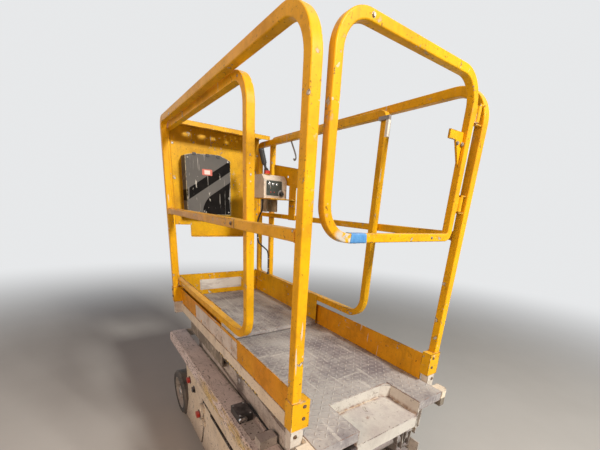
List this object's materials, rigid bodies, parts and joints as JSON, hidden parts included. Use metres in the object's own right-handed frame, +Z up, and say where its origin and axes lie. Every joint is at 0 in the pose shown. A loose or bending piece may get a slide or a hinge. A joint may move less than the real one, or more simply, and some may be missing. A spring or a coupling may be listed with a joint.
{
  "type": "scissor lift",
  "caption": "Compact electric scissor lift, stowed, with a railed platform, a slide-out deck extension, a swing gate and a stack of crossed arms on a wheeled base.",
  "frame": {"origin": "on the floor, in the middle of the stowed outer box", "axes": "+X towards the extension end, +Y left, +Z up"},
  "size_m": [1.774, 0.76, 1.97],
  "materials": {
    "black_plastic": "matt",
    "box_white": "satin",
    "deck_tread": "worn tread plate",
    "frame_white": "worn satin",
    "hub": "satin",
    "panel_grey": "satin",
    "ram_black": "gloss",
    "safety_yellow": "worn gloss",
    "steel": "bare",
    "stop_red": "gloss",
    "tyre": "solid rubber"
  },
  "bodies": {
    "chassis": {"chassis_floor": "frame_white", "tray_walls": "frame_white", "nose_frame": "frame_white", "roller_tracks": "frame_white", "pivot_lugs": "frame_white", "covers": "frame_white", "side_panels": "frame_white", "battery_pack": "black_plastic", "pump_unit": "black_plastic", "axle_rear": "frame_white", "axle_front": "frame_white", "ladder": "frame_white", "limit_switch": "black_plastic", "switch_bracket": "frame_white", "ground_controls": "stop_red"},
    "door_left": {"door_left": "frame_white"},
    "door_right": {"door_right": "frame_white"},
    "knuckle_left": {"knuckle_left": "frame_white"},
    "knuckle_right": {"knuckle_right": "frame_white"},
    "wheel_front_left": {"tyre_front_left": "tyre", "hub_front_left": "hub"},
    "wheel_front_right": {"tyre_front_right": "tyre", "hub_front_right": "hub"},
    "wheel_rear_left": {"tyre_rear_left": "tyre", "hub_rear_left": "hub"},
    "wheel_rear_right": {"tyre_rear_right": "tyre", "hub_rear_right": "hub"},
    "ram_barrel": {"ram_barrel": "ram_black"},
    "ram_rod": {"ram_rod": "steel"},
    "platform": {"deck_main": "deck_tread", "entry_well": "frame_white", "deck_channels": "frame_white", "toe_boards_main": "safety_yellow", "rails_main": "safety_yellow", "gate_hinges": "safety_yellow"},
    "extension": {"deck_extension": "deck_tread", "toe_boards_extension": "safety_yellow", "rails_extension": "safety_yellow", "front_panel": "safety_yellow", "front_box": "panel_grey", "control_box": "box_white", "control_bracket": "safety_yellow", "joystick": "black_plastic", "stop_button": "stop_red", "control_cable": "black_plastic", "lock_lever": "frame_white"},
    "gate": {"gate": "safety_yellow"},
    "outer_1": {"arm_outer_1": "frame_white"},
    "inner_1": {"arm_inner_1": "frame_white"},
    "outer_2": {"arm_outer_2": "frame_white"},
    "inner_2": {"arm_inner_2": "frame_white"},
    "outer_3": {"arm_outer_3": "frame_white"},
    "inner_3": {"arm_inner_3": "frame_white"},
    "outer_4": {"arm_outer_4": "frame_white"},
    "inner_4": {"arm_inner_4": "frame_white"}
  },
  "joints": [
    {"name": "steer_left", "type": "hinge", "parent": "chassis", "child": "knuckle_left", "pos_m": [0.69, 0.292, 0.165], "axis": [0, 0, 1], "range_deg": [-25, 25]},
    {"name": "steer_right", "type": "hinge", "parent": "chassis", "child": "knuckle_right", "pos_m": [0.69, -0.292, 0.165], "axis": [0, 0, 1], "range_deg": [-25, 25]},
    {"name": "roll_front_left", "type": "hinge", "parent": "knuckle_left", "child": "wheel_front_left", "pos_m": [0.69, 0.328, 0.165], "axis": [0, 1, 0], "continuous": true},
    {"name": "roll_rear_left", "type": "hinge", "parent": "chassis", "child": "wheel_rear_left", "pos_m": [-0.69, 0.328, 0.165], "axis": [0, 1, 0], "continuous": true},
    {"name": "roll_front_right", "type": "hinge", "parent": "knuckle_right", "child": "wheel_front_right", "pos_m": [0.69, -0.328, 0.165], "axis": [0, 1, 0], "continuous": true},
    {"name": "roll_rear_right", "type": "hinge", "parent": "chassis", "child": "wheel_rear_right", "pos_m": [-0.69, -0.328, 0.165], "axis": [0, 1, 0], "continuous": true},
    {"name": "door_left_swing", "type": "hinge", "parent": "chassis", "child": "door_left", "pos_m": [0.153, 0.372, 0.25], "axis": [0, 0, -1], "range_deg": [0, 95]},
    {"name": "door_right_swing", "type": "hinge", "parent": "chassis", "child": "door_right", "pos_m": [0.46, -0.372, 0.25], "axis": [0, 0, 1], "range_deg": [0, 95]},
    {"name": "lift", "type": "hinge", "parent": "chassis", "child": "outer_1", "pos_m": [-0.8, 0, 0.282], "axis": [0, -1, 0], "range_deg": [0, 41.5]},
    {"name": "cross_1", "type": "hinge", "parent": "outer_1", "child": "inner_1", "pos_m": [-0.13728, 0, 0.337], "axis": [0, -1, 0], "range_deg": [-83, 0]},
    {"name": "stack_1", "type": "hinge", "parent": "inner_1", "child": "outer_2", "pos_m": [-0.8, 0, 0.392], "axis": [0, -1, 0], "range_deg": [0, 83]},
    {"name": "cross_2", "type": "hinge", "parent": "outer_2", "child": "inner_2", "pos_m": [-0.13728, 0, 0.447], "axis": [0, -1, 0], "range_deg": [-83, 0]},
    {"name": "stack_2", "type": "hinge", "parent": "inner_2", "child": "outer_3", "pos_m": [-0.8, 0, 0.502], "axis": [0, -1, 0], "range_deg": [0, 83]},
    {"name": "cross_3", "type": "hinge", "parent": "outer_3", "child": "inner_3", "pos_m": [-0.13728, 0, 0.557], "axis": [0, -1, 0], "range_deg": [-83, 0]},
    {"name": "stack_3", "type": "hinge", "parent": "inner_3", "child": "outer_4", "pos_m": [-0.8, 0, 0.612], "axis": [0, -1, 0], "range_deg": [0, 83]},
    {"name": "cross_4", "type": "hinge", "parent": "outer_4", "child": "inner_4", "pos_m": [-0.13728, 0, 0.667], "axis": [0, -1, 0], "range_deg": [-83, 0]},
    {"name": "platform_level", "type": "hinge", "parent": "inner_4", "child": "platform", "pos_m": [-0.8, 0, 0.722], "axis": [0, -1, 0], "range_deg": [0, 41.5]},
    {"name": "ram_swing", "type": "hinge", "parent": "inner_1", "child": "ram_barrel", "pos_m": [0.39589, 0, 0.29275], "axis": [0, 1, 0], "range_deg": [0, 20.68]},
    {"name": "ram_stroke", "type": "slide", "parent": "ram_barrel", "child": "ram_rod", "axis": [-0.9831, 0, 0.183], "range_m": [0, 0.7386]},
    {"name": "extension_slide", "type": "slide", "parent": "platform", "child": "extension", "axis": [1, 0, 0], "range_m": [0, 0.6]},
    {"name": "gate_swing", "type": "hinge", "parent": "platform", "child": "gate", "pos_m": [-0.799, -0.312, 0], "axis": [0, 0, -1], "range_deg": [0, 80]}
  ],
  "couplings": [
    {"joint": "steer_right", "follows": "steer_left", "ratio": 1},
    {"joint": "cross_1", "follows": "lift", "ratio": -2},
    {"joint": "stack_1", "follows": "lift", "ratio": 2},
    {"joint": "cross_2", "follows": "lift", "ratio": -2},
    {"joint": "stack_2", "follows": "lift", "ratio": 2},
    {"joint": "cross_3", "follows": "lift", "ratio": -2},
    {"joint": "stack_3", "follows": "lift", "ratio": 2},
    {"joint": "cross_4", "follows": "lift", "ratio": -2},
    {"joint": "platform_level", "follows": "lift", "ratio": 1},
    {"joint": "ram_swing", "follows": "lift", "ratio": 0.498},
    {"joint": "ram_stroke", "follows": "lift", "m_per_rad": 1.019}
  ]
}
